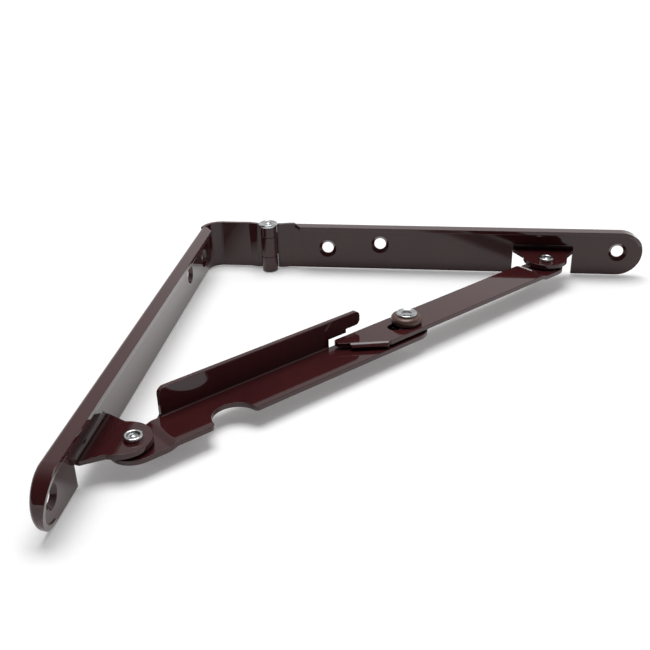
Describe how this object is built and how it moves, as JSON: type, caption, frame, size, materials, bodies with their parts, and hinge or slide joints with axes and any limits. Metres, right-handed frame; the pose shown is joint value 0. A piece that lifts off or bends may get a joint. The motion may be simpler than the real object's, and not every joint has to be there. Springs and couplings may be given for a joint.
{
  "type": "folding shelf bracket",
  "caption": "Folding shelf bracket of pressed sheet steel: a wall leg and a shelf arm hinged at the corner, held square by a slotted two-piece strut that locks and folds flat.",
  "frame": {"origin": "bottom centre of the bounding box, with the bracket lying open on its side", "axes": "+Z along the pivots, +X from the wall leg toward the tip of the shelf arm, +Y along the wall leg toward the corner, so the wall is at -X and the shelf at +Y"},
  "size_m": [0.233, 0.238, 0.0275],
  "materials": {
    "paint": "glossy dark oxblood paint",
    "brown_paint": "glossy brown paint",
    "zinc": "bright zinc plate"
  },
  "bodies": {
    "wall": {"wall_leg": "paint", "hinge_pin_ends": "zinc", "wall_pivot_rivet": "zinc", "wall_pivot_washer": "paint"},
    "lower": {"lower_strut": "paint", "centre_rivet": "zinc", "centre_collar": "brown_paint", "centre_washer": "paint"},
    "upper": {"upper_strut": "paint"},
    "arm": {"shelf_arm": "paint", "hinge_pin_middle": "zinc", "shelf_pivot_rivet": "zinc", "shelf_pivot_washer": "paint"}
  },
  "joints": [
    {"name": "wall_pivot", "type": "hinge", "parent": "wall", "child": "lower", "pos_m": [-0.098, -0.071, 0.0009], "axis": [0, 0, 1], "range_deg": [0, 43.63]},
    {"name": "centre_pivot", "type": "hinge", "parent": "lower", "child": "upper", "pos_m": [-0.00298, 0.02866, 0.0009], "axis": [0, 0, 1], "range_deg": [-177.43, 0]},
    {"name": "shelf_pivot", "type": "hinge", "parent": "upper", "child": "arm", "pos_m": [0.0655, 0.1005, 0.0009], "axis": [0, 0, 1], "range_deg": [0, 43.8]}
  ],
  "couplings": [
    {"joint": "centre_pivot", "follows": "wall_pivot", "ratio": -4.0665},
    {"joint": "shelf_pivot", "follows": "wall_pivot", "ratio": 1.0038}
  ]
}
